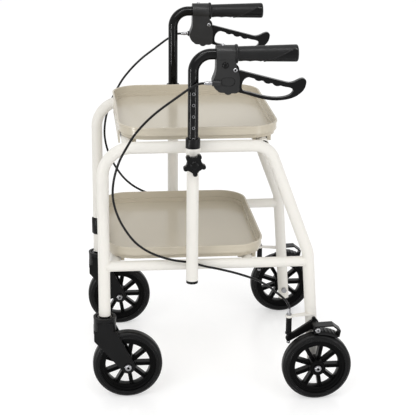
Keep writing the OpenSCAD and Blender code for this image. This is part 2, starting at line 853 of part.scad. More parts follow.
// Shouldered stud on a rear leg that the brake arm turns on
module brake_pivot_stud() {
  arm_in = brake_arm_y - brake_arm_t / 2 - run_gap;
  hub_out = brake_hub_y + run_gap;
  color(steel) difference() {
    translate([brake_pivot.x, 0, brake_pivot.y]) {
      rod_y(brake_washer_d, leg_y, arm_in);
      rod_y(brake_stud_d, leg_y, hub_out);
      rod_y(brake_head_d, hub_out, hub_out + brake_head_t);
    }
    rear_leg_rod(tube_d);
  }
}

// Threaded barrel that the cable's end sits in
module cable_adjuster() {
  color(steel) translate(ring_at) difference() {
    union() {
      rod_z(adjuster_d, 0, ring_h + adjuster_h);
      rod_z(lock_nut_d, ring_h, ring_h + lock_nut_h);
    }
    rod_z(wire_hole_d, -overrun, ring_h + adjuster_h + overrun);
    rod_z(cable_d + 2 * slide_gap, ring_h + adjuster_h - adjuster_foot, ring_h + adjuster_h + overrun);
  }
}

module right_leg_sleeve() {
  color(satin_black) translate([front_x, leg_y, sleeve_z]) difference() {
    union() {
      cylinder(d1 = sleeve_d - 2 * sleeve_chamfer, d2 = sleeve_d, h = sleeve_chamfer);
      rod_z(sleeve_d, sleeve_chamfer, sleeve_h - sleeve_chamfer);
      translate([0, 0, sleeve_h - sleeve_chamfer])
        cylinder(d1 = sleeve_d, d2 = sleeve_d - 2 * sleeve_chamfer, h = sleeve_chamfer);
    }
    rod_z(tube_d, -overrun, sleeve_h + overrun);
  }
}

module brake_cable() {
  color(satin_black) swept_tube(cable_path, cable_d, cable_sides, [0, 1, 0]);
}

module brake_spring() {
  color(satin_black) translate([ring_at.x, ring_at.y, spring_low_z + spring_wire / 2])
    swept_tube(spring_path, spring_wire, spring_sides, [0, 0, 1]);
}

// Inner wire from the adjuster through the spring to the arm, with its end nipple
module brake_wire() {
  arm_low = arm_end.y - arm_end_d / 2;
  color(steel) translate([ring_at.x, ring_at.y, 0]) {
    rod_z(wire_d, arm_low - nipple_h, ring_at.z + ring_h + adjuster_h - adjuster_foot);
    rod_z(nipple_d, arm_low - nipple_h - slide_gap, arm_low - slide_gap);
  }
}

// Turns a brake arm's parts from the braking position back to the open one
module brake_released() {
  translate([brake_pivot.x, 0, brake_pivot.y])
    rotate([0, -brake_open, 0])
      translate([-brake_pivot.x, 0, -brake_pivot.y])
        children();
}

// Ring sector round the rear axle between two radii
module axle_sector(r_in, r_out, from, to) {
  reach = 2 * r_out;
  translate(rear_axle) intersection() {
    difference() {
      circle(r = r_out);
      circle(r = r_in);
    }
    polygon([[0, 0], reach * [cos(from), sin(from)], reach * [cos((from + to) / 2), sin((from + to) / 2)],
      reach * [cos(to), sin(to)]]);
  }
}

// Arm with an eye on a long hub, a cup for the spring and a bent strap that carries the pad
module brake_arm() {
  shoe_in = wheel_r + slide_gap + pad_t;
  shoe_out = shoe_in + shoe_t;
  arm_in = brake_arm_y - brake_arm_t / 2;
  arm_out = brake_arm_y + brake_arm_t / 2;
  shoe_side_in = rear_wheel_y - shoe_w / 2;
  shoe_side_out = rear_wheel_y + shoe_w / 2;
  shoe_end = rear_axle + (shoe_in + shoe_t / 2) * [cos(pad_from), sin(pad_from)];
  top_left = brake_pivot + [strap_start, strap_up];
  top_right = brake_pivot + [strap_l, strap_up];
  curl = [shoe_end.x + strap_curl, (top_right.y + shoe_end.y) / 2];
  rib_step = (shoe_to - pad_from) / rib_count;
  color(satin_black) difference() {
    union() {
      upright(arm_in, arm_out) link(brake_pivot, brake_eye_d / 2, arm_end, arm_end_d / 2);
      upright(arm_in + strap_inset, arm_out - strap_inset)
        link(brake_pivot, lug_root_d / 2, brake_pivot + [lug_back, lug_up], lug_tip_d / 2);
      translate([brake_pivot.x, 0, brake_pivot.y]) rod_y(brake_hub_d, brake_arm_y, brake_hub_y);
      translate([arm_end.x, brake_arm_y, arm_end.y]) {
        rod_z(cup_neck_d, 0, spring_cup_up + spring_cup_t);
        rod_z(spring_cup_d, spring_cup_up, spring_cup_up + spring_cup_t);
      }
      brake_released() {
        upright(strap_out_y - strap_w, strap_out_y)
          polygon(strip([top_left, top_right, curl, shoe_end], strip_t));
        upright(shoe_side_in, shoe_side_out) axle_sector(shoe_in, shoe_out, pad_from, shoe_to);
        for (k = [1:rib_count - 1])
          translate([rear_x + shoe_out * cos(pad_from + k * rib_step), 0,
              wheel_r + shoe_out * sin(pad_from + k * rib_step)])
            rod_y(rib_d, shoe_side_in + rib_d, shoe_side_out - rib_d);
      }
    }
    translate([brake_pivot.x, 0, brake_pivot.y])
      rod_y(brake_stud_d + 2 * run_gap, arm_in - overrun, brake_hub_y + overrun);
    translate([arm_end.x, brake_arm_y, arm_end.y])
      rod_z(wire_slot_d, -arm_end_d, spring_cup_up + spring_cup_t + overrun);
  }
}

// Friction pad under the shoe, curved to the tyre
module brake_pad() {
  pad_in = rear_wheel_y - shoe_w / 2;
  pad_out = rear_wheel_y + shoe_w / 2;
  color(rubber_black) brake_released()
    upright(pad_in, pad_out)
      axle_sector(wheel_r + slide_gap, wheel_r + slide_gap + pad_t, pad_from + pad_set_back, pad_to);
}

// Bent handle tube with the row of height-setting holes
module handle_tube() {
  path = [[stem_x, handle_bottom_z], [stem_x, grip_z], [grip_end_x - grip_cap_t, grip_z]];
  color(satin_black) difference() {
    translate([0, stem_y, 0]) bent_rod(path, [handle_bend_r], handle_d);
    translate([0, stem_y, 0]) bent_rod(path, [handle_bend_r], handle_d - 2 * tube_wall, overrun);
    for (k = [-holes_below:holes_above])
      translate([stem_x, stem_y, knob_z + k * hole_pitch]) rod_y(hole_d, 0, handle_d);
  }
}

// Grip with a flange, a flared end and finger grooves underneath
module grip() {
  flange_end = grip_flange_t;
  color(rubber_black) difference() {
    translate([grip_start_x, stem_y, grip_z]) rotate([0, 90, 0]) {
      cylinder(d = grip_flange_d, h = grip_flange_t);
      translate([0, 0, flange_end])
        cylinder(d1 = grip_d, d2 = grip_end_d, h = grip_l - flange_end - grip_round);
      translate([0, 0, grip_l - grip_round])
        rotate_extrude() {
          square([grip_end_d / 2 - grip_round, grip_round]);
          intersection() {
            translate([grip_end_d / 2 - grip_round, 0]) circle(r = grip_round);
            square([grip_end_d / 2, grip_round]);
          }
        }
    }
    translate([0, stem_y, grip_z]) rod_x(handle_d, grip_start_x - overrun, grip_end_x - grip_cap_t);
    for (k = [0:finger_count - 1])
      translate([grip_start_x + finger_start + k * finger_pitch, 0,
          grip_z - grip_d / 2 - finger_r + finger_depth])
        rod_y(2 * finger_r, stem_y - grip_d, stem_y + grip_d);
  }
}

// Places an outline drawn from the lever pivot
module at_lever_pivot() {
  translate([lever_pivot.x, 0, lever_pivot.y]) children();
}

// Clamp and lever housing with a slot for the lever and a bare oval recess
module lever_housing() {
  inner = stem_y - housing_half_t;
  outer = stem_y + housing_half_t;
  color(satin_black) difference() {
    union() {
      translate([0, stem_y, grip_z]) rod_x(clamp_d, lever_pivot.x + clamp_front, lever_pivot.x + clamp_rear);
      at_lever_pivot() {
        upright(inner, outer) {
          polygon(housing_outline);
          for (p = scaled(scallop_shares, housing_size)) translate(p) circle(d = scallop_d);
        }
        translate([0, stem_y + lug_out, lug_at]) rod_x(lug_d, lug_from, lug_to);
        translate([dome_front, outer, dome_up]) dome_cap(dome_d, dome_h, bend_lap);
      }
    }
    translate([0, stem_y, grip_z]) {
      rod_x(handle_d, lever_pivot.x + clamp_front - overrun, lever_pivot.x + clamp_rear + overrun);
      rod_x(grip_flange_d + 2 * slide_gap, grip_start_x - slide_gap, grip_end_x);
    }
    at_lever_pivot() {
      upright(stem_y - lever_t / 2 - slide_gap, stem_y + lever_t / 2 + slide_gap)
        translate([slot_front, -clamp_d * 2]) square([clamp_d, clamp_d * 2 + slot_top]);
      rod_y(pivot_d, inner - overrun, outer + overrun);
      upright(outer - oval_depth, outer + overrun)
        link([oval_front, oval_down], oval_d / 2, [oval_rear, oval_down], oval_d / 2 - run_gap);
    }
  }
}

// Pivot screw, clamp screw and cable ferrule of a lever housing
module lever_fixings() {
  inner = stem_y - housing_half_t;
  outer = stem_y + housing_half_t;
  color(steel) {
    at_lever_pivot() {
      rod_y(pivot_d, inner, outer);
      rod_y(pivot_head_d, outer, outer + pivot_head_t);
      rod_y(pivot_head_d, inner - pivot_head_t, inner);
      translate([0, stem_y + lug_out, lug_at]) rod_x(ferrule_d, lug_from - ferrule_l, lug_from);
    }
    translate([lever_pivot.x + clamp_screw_at, stem_y, grip_z + clamp_d / 2]) difference() {
      rod_z(clamp_screw_d, -clamp_screw_h, clamp_screw_h);
      translate([0, 0, -clamp_d / 2]) rod_x(clamp_d, -clamp_d, clamp_d);
    }
  }
}

// Loop lever with finger bumps on its upper bar
module brake_lever() {
  color(satin_black) at_lever_pivot() difference() {
    union() {
      upright(stem_y - lever_t / 2, stem_y + lever_t / 2) difference() {
        polygon(scaled(lever_shares, lever_size));
        difference() {
          polygon(scaled(window_shares, lever_size));
          for (p = scaled(bump_shares, lever_size)) translate(p) circle(d = finger_bump_d);
        }
      }
      rod_y(lever_eye_d, stem_y - lever_t / 2, stem_y + lever_t / 2);
    }
    rod_y(pivot_d + 2 * run_gap, stem_y - lever_t, stem_y + lever_t);
  }
}

// Places a knob's parts on the socket's threaded boss
module at_knob() {
  translate([stem_x, stem_y + stem_d / 2 + boss_h + slide_gap, knob_z]) children();
}

// Low round cap along +Y, sunk a little into the face that it sits on
module dome_cap(d, h, sunk) {
  r = (d * d / 4 + h * h) / (2 * h);
  rotate([-90, 0, 0]) rotate_extrude() intersection() {
    translate([0, h - r]) circle(r = r);
    translate([0, -sunk]) square([d / 2, h + sunk]);
  }
}

// Outline of the knob: five slim arms on a core, scooped between them
module knob_outline() {
  step = 360 / knob_lobes;
  difference() {
    union() {
      circle(d = knob_core_d);
      for (k = [0:knob_lobes - 1]) rotate(knob_angle + k * step) {
        polygon([
          [knob_core_d / 4, -knob_arm_root_w / 2], [knob_lobe_r, -knob_arm_tip_w / 2],
          [knob_lobe_r, knob_arm_tip_w / 2], [knob_core_d / 4, knob_arm_root_w / 2]
        ]);
        translate([knob_lobe_r, 0]) circle(d = knob_lobe_d);
      }
    }
    for (k = [0:knob_lobes - 1]) rotate(knob_angle + (k + 1 / 2) * step)
      translate([knob_scoop_r, 0]) circle(d = knob_scoop_d);
  }
}

// Clamping knob with a low dome
module star_knob() {
  top = knob_neck_h + knob_t;
  color(satin_black) at_knob() difference() {
    union() {
      rod_y(knob_neck_d, 0, knob_neck_h + bend_lap);
      upright(knob_neck_h, top) knob_outline();
      translate([0, top, 0]) dome_cap(knob_dome_d, knob_dome_h, bend_lap);
    }
    rod_y(screw_d, -overrun, knob_screw_in);
  }
}

// Clamping screw: its tip stops just short of the handle tube
module knob_screw() {
  reach = boss_h + (stem_d - handle_d) / 2;
  color(steel) at_knob() rod_y(screw_d, -reach, knob_screw_in);
}

// Serving tray from its front edge and base, hooked over the front cross tube and clipped over the rear one
module tray() {
  base_corner = tray_corner_r - tray_base_inset;
  side_corner = tray_corner_r - tray_side_inset;
  base_in = tray_base_inset + tray_wall;
  side_in = tray_side_inset + tray_wall;
  front_rib = tray_front_tube + rail_r + slide_gap;
  rear_rib = tray_rear_tube - rail_r - slide_gap - clip_t;
  last_rib = tray_rear_tube + rail_r + slide_gap;
  color(tray_beige) {
    difference() {
      union() {
        translate([tray_base_inset, 0, 0]) linear_extrude(tray_ledge_h)
          rounded_rect(tray_l - 2 * tray_base_inset, tray_w - 2 * tray_base_inset, base_corner);
        translate([tray_side_inset, 0, tray_ledge_h - tray_wall])
          linear_extrude(tray_h - tray_ledge_h + tray_wall)
            rounded_rect(tray_l - 2 * tray_side_inset, tray_w - 2 * tray_side_inset, side_corner);
        translate([0, 0, tray_h - tray_rim_h]) linear_extrude(tray_rim_h)
          rounded_rect(tray_l, tray_w, tray_corner_r);
        translate([tray_side_inset, -tray_lip_w / 2, -tray_lip_drop])
          cube([tray_lip_t, tray_lip_w, tray_lip_drop + tray_ledge_h]);
        for (side = [0, 1]) mirror([0, side, 0]) for (x = [front_rib, rear_rib, last_rib])
          translate([x, tray_w / 2 - clip_edge - clip_l, -clip_drop])
            cube([clip_t, clip_l, clip_drop + tray_wall]);
      }
      translate([base_in, 0, tray_wall]) linear_extrude(tray_h)
        rounded_rect(tray_l - 2 * base_in, tray_w - 2 * base_in, base_corner - tray_wall);
      translate([side_in, 0, tray_ledge_h]) linear_extrude(tray_h)
        rounded_rect(tray_l - 2 * side_in, tray_w - 2 * side_in, side_corner - tray_wall);
    }
  }
}

module upper_tray() {
  translate([upper_tray_x, 0, upper_tray_z]) tray();
}

module lower_tray() {
  translate([lower_tray_x, 0, lower_tray_z]) tray();
}

// Frame
left() side_frame();  // left_side_frame
side_frame();  // right_side_frame
left() lower_rail();  // left_lower_rail
lower_rail();  // right_lower_rail
cross_tube(upper_tray_x + tray_front_tube, upper_tube_z);  // front_upper_cross_tube
cross_tube(upper_tray_x + tray_rear_tube, upper_tube_z);  // rear_upper_cross_tube
cross_tube(lower_tray_x + tray_front_tube, lower_tube_z);  // front_lower_cross_tube
cross_tube(lower_tray_x + tray_rear_tube, lower_tube_z);  // rear_lower_cross_tube
left() handle_socket();  // left_handle_socket
handle_socket();  // right_handle_socket
both() socket_collar();  // socket_collars
both() socket_end_cap();  // socket_end_caps
both() rear_leg_plug();  // rear_leg_plugs
both() caster_socket();  // caster_sockets
both() caster_pin();  // caster_pins
both() rear_axle_set();  // rear_axles
both() brake_bracket();  // brake_brackets
both() brake_pivot_stud();  // brake_pivots
both() cable_adjuster();  // cable_adjusters
right_leg_sleeve();

// Cables, springs and wires
left() brake_cable();  // left_brake_cable
brake_cable();  // right_brake_cable
left() brake_spring();  // left_brake_spring
brake_spring();  // right_brake_spring
left() brake_wire();  // left_brake_wire
brake_wire();  // right_brake_wire

// Handles
left() handle_tube();  // left_handle_tube
handle_tube();  // right_handle_tube
left() grip();  // left_grip
grip();  // right_grip
left() lever_housing();  // left_lever_housing
lever_housing();  // right_lever_housing
left() lever_fixings();  // left_lever_fixings
lever_fixings();  // right_lever_fixings
left() brake_lever();  // left_brake_lever
brake_lever();  // right_brake_lever
left() star_knob();  // left_star_knob
star_knob();  // right_star_knob
left() knob_screw();  // left_knob_screw
knob_screw();  // right_knob_screw

// Wheels
left() caster_fork();  // left_caster_fork
caster_fork();  // right_caster_fork
left() front_axle();  // left_front_axle
front_axle();  // right_front_axle
left() at_front_wheel() wheel_core();  // left_front_wheel
at_front_wheel() wheel_core();  // right_front_wheel
left() at_front_wheel() tyre();  // left_front_tyre
at_front_wheel() tyre();  // right_front_tyre
left() at_rear_wheel() wheel_core();  // left_rear_wheel
at_rear_wheel() wheel_core();  // right_rear_wheel
left() at_rear_wheel() tyre();  // left_rear_tyre
at_rear_wheel() tyre();  // right_rear_tyre

// Rear brakes
left() brake_arm();  // left_brake_arm
brake_arm();  // right_brake_arm
left() brake_pad();  // left_brake_pad
brake_pad();  // right_brake_pad

// Trays
upper_tray();
lower_tray();
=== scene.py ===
"""Looks of the indoor walker: camera, light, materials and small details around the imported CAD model."""
import json
import math

import bmesh
import bpy
from mathutils import Matrix, Vector


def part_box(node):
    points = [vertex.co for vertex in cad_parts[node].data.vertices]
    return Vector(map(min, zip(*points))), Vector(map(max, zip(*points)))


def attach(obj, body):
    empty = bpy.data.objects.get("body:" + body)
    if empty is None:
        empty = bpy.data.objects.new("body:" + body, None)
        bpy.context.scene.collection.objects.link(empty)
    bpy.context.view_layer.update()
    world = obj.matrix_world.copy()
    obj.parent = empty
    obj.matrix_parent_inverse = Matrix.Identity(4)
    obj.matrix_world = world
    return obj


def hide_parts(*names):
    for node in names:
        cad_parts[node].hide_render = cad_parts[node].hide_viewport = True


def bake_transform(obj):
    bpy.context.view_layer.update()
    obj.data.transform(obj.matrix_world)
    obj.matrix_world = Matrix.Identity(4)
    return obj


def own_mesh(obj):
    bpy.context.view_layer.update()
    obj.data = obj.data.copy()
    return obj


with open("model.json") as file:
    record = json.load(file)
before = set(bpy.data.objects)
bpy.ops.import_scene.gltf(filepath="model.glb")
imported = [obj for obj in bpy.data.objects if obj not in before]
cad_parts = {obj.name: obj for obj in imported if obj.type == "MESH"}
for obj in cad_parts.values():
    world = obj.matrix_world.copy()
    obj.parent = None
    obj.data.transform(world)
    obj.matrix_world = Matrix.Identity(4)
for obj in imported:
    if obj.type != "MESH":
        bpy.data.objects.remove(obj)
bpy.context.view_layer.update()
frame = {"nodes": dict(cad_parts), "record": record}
NODES = frame["nodes"]
SCENE = bpy.context.scene
SIDES = (("left", -1), ("right", 1))
MATS = {}

# Places and sizes from the CAD source, in metres
FRONT_X, REAR_X = -0.251, 0.203
LEG_Y, LEG_R = 0.205, 0.0125
RAIL_R, LOW_RAIL_Z = 0.011, 0.298
REAR_LEG_X, REAR_LEG_LEAN = 0.1865, -0.074
STEM_X, STEM_Y, HANDLE_R = -0.068, 0.248, 0.011
KNOB_Z, HOLE_PITCH, HOLE_STEPS = 0.540, 0.0235, range(-2, 7)
WHEEL_R, TYRE_HALF, HUB_HALF, HUB_GAP, TRAIL = 0.075, 0.015, 0.018, 0.0001, 0.048
FRONT_AXLE_X, REAR_WHEEL_Y = FRONT_X + TRAIL, 0.251
FORK_HALF, BOLT_HEAD = 0.0243, 0.005
GRIP_Z, GRIP_START, GRIP_END = 0.760, 0.015, 0.143
GRIP_R, GRIP_SWELL, GRIP_TAPER_START, GRIP_TAPER = 0.015, 0.0025, 0.021, 0.118
GRIP_ROUND_START, GRIP_ROUND = 0.139, 0.004
PIVOT_X, PIVOT_Z = 0.015, 0.730
HOUSING_HALF, CLAMP_R = 0.015, 0.018
CABLE_IN_X, CABLE_IN_Y, CABLE_IN_Z = -0.032, 0.264, 0.704
BRAKE_X, BRAKE_HEAD_Y, BRAKE_Z = 0.201, 0.26835, 0.162
SPRING_X, SPRING_Y = 0.145, 0.2235
TRAY_HALF_D, TRAY_HALF_W, TRAY_CORNER = 0.169, 0.199, 0.064
TRAY_FRONTS = {"upper_tray": -0.216, "lower_tray": -0.243}

SINK = 0.0002  # how far thin lines and screw heads are set into their surface
SMOOTH = 60  # edges under this angle, in degrees, are shaded smooth on rounded pieces
ARC_STEPS = 24  # steps in the arcs of ovals and tray corners
UP = (0, 0, 1)


# Camera, light and floor

LENS, SENSOR_WIDTH, VIEW_LIMIT = 118.6, 36, 50
CAMERA_PLACE = (-0.3298, -2.928, 1.315)
CAMERA_ANGLES = (6.26, 18.04, 0.56)  # yaw, pitch and roll in degrees
WHITE = (1, 1, 1, 1)
AMBIENT = 0.80  # strength of the white surroundings as light, while they are seen at 1
LOOKING_RAYS = ("Is Camera Ray", "Is Glossy Ray", "Is Transmission Ray")
LAMPS = (
    # name, place, target, size, power, for gloss alone
    ("key", (-1.5, -2.3, 2.4), (0, 0, 0.4), (1.6, 1.6), 30, False),
    ("fill", (2.0, -2.2, 1.1), (0, 0, 0.3), (1.8, 1.4), 15, False),
    ("top", (0.1, 0.2, 2.8), (0, 0, 0.3), (1.8, 1.8), 5, False),
    ("strip_left", (-1.25, -0.75, 0.36), (0, -0.25, 0.5), (0.07, 0.7), 9, True),
    ("strip_right", (1.2, -1.5, 0.30), (0, -0.25, 0.5), (0.05, 0.6), 3.5, True),
    ("strip_top", (-0.1, -0.75, 2.1), (0, -0.25, 0.6), (1.8, 0.16), 22, True),
)
FLOOR_HALF, FLOOR_COLOR = 9, (0.95, 0.95, 0.95, 1)
GLOW, GLOW_SHARE = 1.62, 0.3
SHEEN_SHARE, SHEEN_ROUGH = 0.08, 0.2


def camera():
    cam = bpy.data.cameras.new("camera")
    cam.sensor_width, cam.lens, cam.clip_end = SENSOR_WIDTH, LENS, VIEW_LIMIT
    obj = bpy.data.objects.new("camera", cam)
    SCENE.collection.objects.link(obj)
    yaw, pitch, roll = (math.radians(a) for a in CAMERA_ANGLES)
    forward = Vector((math.sin(yaw) * math.cos(pitch), math.cos(yaw) * math.cos(pitch), -math.sin(pitch)))
    right = forward.cross(Vector(UP)).normalized()
    up = right.cross(forward)
    right, up = right * math.cos(roll) + up * math.sin(roll), up * math.cos(roll) - right * math.sin(roll)
    turn = Matrix((right, up, -forward)).transposed().to_4x4()
    obj.matrix_world = Matrix.Translation(CAMERA_PLACE) @ turn
    SCENE.camera = obj


def light(name, place, target, size, power, gloss_only):
    """An area lamp aimed at a place. A lamp for gloss alone draws highlights and adds no other light."""
    lamp = bpy.data.lights.new(name, "AREA")
    lamp.shape, lamp.energy = "RECTANGLE", power
    lamp.size, lamp.size_y = size
    obj = bpy.data.objects.new(name, lamp)
    SCENE.collection.objects.link(obj)
    obj.location = place
    obj.rotation_euler = (Vector(target) - Vector(place)).to_track_quat("-Z", "Y").to_euler()
    obj.visible_diffuse = not gloss_only


def seen_share(nt, share):
    """A value that is share where a looking ray meets the surface, and 0 elsewhere."""
    path = nt.nodes.new("ShaderNodeLightPath")
    last = path.outputs[LOOKING_RAYS[0]]
    for ray in LOOKING_RAYS[1:]:
        most = nt.nodes.new("ShaderNodeMath")
        most.operation = "MAXIMUM"
        nt.links.new(last, most.inputs[0])
        nt.links.new(path.outputs[ray], most.inputs[1])
        last = most.outputs[0]
    times = nt.nodes.new("ShaderNodeMath")
    times.operation = "MULTIPLY"
    times.inputs[1].default_value = share
    nt.links.new(last, times.inputs[0])
    return times.outputs[0]


def floor_material():
    """Matt white with some glow, which keeps the far floor white, and a little sheen."""
    mat = bpy.data.materials.new("floor")
    mat.use_nodes = True
    nt = mat.node_tree
    nt.nodes.clear()
    out = nt.nodes.new("ShaderNodeOutputMaterial")
    mix = nt.nodes.new("ShaderNodeMixShader")
    sheen = nt.nodes.new("ShaderNodeMixShader")
    diffuse = nt.nodes.new("ShaderNodeBsdfDiffuse")
    diffuse.inputs["Color"].default_value = FLOOR_COLOR
    glow = nt.nodes.new("ShaderNodeEmission")
    glow.inputs["Color"].default_value = WHITE
    glow.inputs["Strength"].default_value = GLOW
    gloss = nt.nodes.new("ShaderNodeBsdfGlossy")
    gloss.inputs["Roughness"].default_value = SHEEN_ROUGH
    sheen.inputs["Fac"].default_value = SHEEN_SHARE
    nt.links.new(seen_share(nt, GLOW_SHARE), mix.inputs["Fac"])
    nt.links.new(diffuse.outputs[0], mix.inputs[1])
    nt.links.new(glow.outputs[0], mix.inputs[2])
    nt.links.new(mix.outputs[0], sheen.inputs[1])
    nt.links.new(gloss.outputs[0], sheen.inputs[2])
    nt.links.new(sheen.outputs[0], out.inputs["Surface"])
    return mat


def studio():
    """White surroundings, lamps and a white floor."""
    SCENE.view_settings.view_transform = "Standard"
    world = bpy.data.worlds.new("studio")
    SCENE.world = world
    world.use_nodes = True
    nt = world.node_tree
    back = nt.nodes["Background"]
    back.inputs["Color"].default_value = WHITE
    strength = nt.nodes.new("ShaderNodeMath")
    strength.operation = "ADD"
    strength.inputs[1].default_value = AMBIENT
    nt.links.new(seen_share(nt, 1 - AMBIENT), strength.inputs[0])
    nt.links.new(strength.outputs[0], back.inputs["Strength"])

    for lamp in LAMPS:
        light(*lamp)

    floor_mesh = bpy.data.meshes.new("floor")
    corners = [(x * FLOOR_HALF, y * FLOOR_HALF, 0) for x, y in ((-1, -1), (1, -1), (1, 1), (-1, 1))]
    floor_mesh.from_pydata(corners, [], [(0, 1, 2, 3)])
    floor = bpy.data.objects.new("floor", floor_mesh)
    SCENE.collection.objects.link(floor)
    floor_mesh.materials.append(floor_material())


# Materials

class Mat:
    """A procedural material: a Principled shader with noise in its colour, roughness and bump."""

    def __init__(self, name, color, rough, specular, metallic):
        self.mat = bpy.data.materials.new(name)
        self.mat.use_nodes = True
        self.nt = self.mat.node_tree
        self.bsdf = self.nt.nodes["Principled BSDF"]
        self.bsdf.inputs["Base Color"].default_value = (*color, 1)
        self.bsdf.inputs["Roughness"].default_value = rough
        self.bsdf.inputs["Metallic"].default_value = metallic
        self.bsdf.inputs["Specular IOR Level"].default_value = specular
        self.color, self.rough = color, rough
        self.coords = self.nt.nodes.new("ShaderNodeTexCoord")
        MATS[name] = self

    def node(self, kind, **values):
        n = self.nt.nodes.new(kind)
        for k, v in values.items():
            n.inputs[k].default_value = v
        return n

    def noise(self, scale, detail, stretch=1):
        tex = self.node("ShaderNodeTexNoise", Scale=scale, Detail=detail)
        mapping = self.node("ShaderNodeMapping", Scale=(1, 1, stretch))
        self.nt.links.new(self.coords.outputs["Object"], mapping.inputs["Vector"])
        self.nt.links.new(mapping.outputs["Vector"], tex.inputs["Vector"])
        return tex.outputs["Fac"]

    def cells(self, scale):
        tex = self.node("ShaderNodeTexVoronoi", Scale=scale)
        self.nt.links.new(self.coords.outputs["Object"], tex.inputs["Vector"])
        return tex.outputs["Distance"]

    def vary_color(self, fac, low, high):
        ramp = self.nt.nodes.new("ShaderNodeValToRGB")
        for element, position, k in zip(ramp.color_ramp.elements, (0.3, 0.7), (low, high)):
            element.position = position
            element.color = (*[min(1.0, c * k) for c in self.color], 1)
        self.nt.links.new(fac, ramp.inputs["Fac"])
        self.nt.links.new(ramp.outputs["Color"], self.bsdf.inputs["Base Color"])

    def vary_rough(self, fac, spread):
        span = self.node("ShaderNodeMapRange")
        span.inputs["To Min"].default_value = max(0.02, self.rough - spread)
        span.inputs["To Max"].default_value = min(1.0, self.rough + spread)
        self.nt.links.new(fac, span.inputs["Value"])
        self.nt.links.new(span.outputs["Result"], self.bsdf.inputs["Roughness"])

    def bump(self, fac, height, strength):
        b = self.node("ShaderNodeBump", Strength=strength, Distance=height)
        self.nt.links.new(fac, b.inputs["Height"])
        self.nt.links.new(b.outputs["Normal"], self.bsdf.inputs["Normal"])


def surface(name, color, rough, specular, tone, sheen, grain, metallic=0.0, brushed=(1, 1)):
    """One look. Its noise is given for the colour as (scale, detail, low, high), for the roughness as (scale,
    detail, spread) and for the bump as (scale, detail, height, strength). A bump without detail is made of
    cells, and brushed stretches the noise of the roughness and of the bump along z."""
    mat = Mat(name, color, rough, specular, metallic)
    scale, detail, low, high = tone
    mat.vary_color(mat.noise(scale, detail), low, high)
    scale, detail, spread = sheen
    mat.vary_rough(mat.noise(scale, detail, brushed[0]), spread)
    scale, detail, height, strength = grain
    mat.bump(mat.noise(scale, detail, brushed[1]) if detail else mat.cells(scale), height, strength)


def materials():
    surface("cream_enamel", (0.772, 0.751, 0.702), 0.36, 0.1,
            tone=(7, 2, 0.985, 1.01), sheen=(60, 3, 0.04), grain=(300, 2, 0.0002, 0.05))
    surface("tray_beige", (0.545, 0.495, 0.4), 0.2, 0.22,
            tone=(6, 3, 0.985, 1.015), sheen=(35, 4, 0.03), grain=(260, 3, 0.0002, 0.06))
    surface("black_plastic", (0.004, 0.004, 0.0042), 0.36, 0.14,
            tone=(24, 3, 0.8, 1.25), sheen=(55, 4, 0.07), grain=(1100, 2, 0.0002, 0.2))
    surface("housing_plastic", (0.014, 0.014, 0.0142), 0.42, 0.25,
            tone=(24, 3, 0.85, 1.2), sheen=(55, 4, 0.07), grain=(1100, 2, 0.0002, 0.2))
    surface("black_lever", (0.0018, 0.0018, 0.002), 0.22, 0.14,
            tone=(30, 3, 0.85, 1.2), sheen=(70, 3, 0.06), grain=(900, 2, 0.0002, 0.12))
    surface("black_enamel", (0.002, 0.002, 0.0022), 0.12, 0.16,
            tone=(20, 2, 0.9, 1.15), sheen=(45, 3, 0.04), grain=(300, 2, 0.0002, 0.05))
    surface("black_rubber", (0.0045, 0.0045, 0.0048), 0.42, 0.2,
            tone=(30, 4, 0.8, 1.25), sheen=(80, 3, 0.08), grain=(900, 0, 0.0003, 0.3))
    surface("tyre", (0.0038, 0.0038, 0.004), 0.4, 0.14,
            tone=(18, 5, 0.85, 1.2), sheen=(60, 4, 0.08), grain=(700, 3, 0.0003, 0.2))
    surface("wheel_plastic", (0.0015, 0.0015, 0.0016), 0.3, 0.06,
            tone=(30, 3, 0.85, 1.2), sheen=(60, 3, 0.06), grain=(900, 2, 0.0002, 0.12))
    surface("bright_steel", (0.3, 0.3, 0.31), 0.3, 0.5, metallic=1.0, brushed=(12, 10),
            tone=(50, 3, 0.92, 1.04), sheen=(300, 2, 0.08), grain=(500, 2, 0.0002, 0.1))
    surface("dark_steel", (0.03, 0.03, 0.031), 0.2, 0.4, metallic=0.6,
            tone=(40, 3, 0.85, 1.2), sheen=(80, 3, 0.06), grain=(500, 2, 0.0002, 0.1))
    surface("cable_sheath", (0.003, 0.003, 0.0032), 0.3, 0.2,
            tone=(40, 3, 0.85, 1.2), sheen=(90, 3, 0.06), grain=(800, 2, 0.0002, 0.12))


# Edge radii and looks of the CAD nodes, by the end of a node's name
SOFT_EDGES = {
    "lever_housing": 0.0011, "brake_lever": 0.0018, "star_knob": 0.0013, "caster_fork": 0.0014,
    "front_wheel": 0.0006, "rear_wheel": 0.0006, "brake_arm": 0.0006, "grip": 0.0022,
    "socket_collars": 0.0012, "socket_end_caps": 0.0012, "handle_socket": 0.0005, "brake_brackets": 0.0008,
    "front_axle": 0.0008, "rear_axles": 0.0008, "brake_pivots": 0.0006, "cable_adjusters": 0.0004,
    "brake_pad": 0.0004, "right_leg_sleeve": 0.0006, "rear_leg_plugs": 0.0006,
}
OTHER_LOOKS = {
    "front_wheel": "wheel_plastic", "rear_wheel": "wheel_plastic", "caster_sockets": "dark_steel",
    "lever_housing": "housing_plastic", "star_knob": "black_lever", "brake_arm": "black_plastic",
}


def kind_of(table, name):
    """The table's entry for a node, or None."""
    return next((v for k, v in table.items() if name.endswith(k)), None)


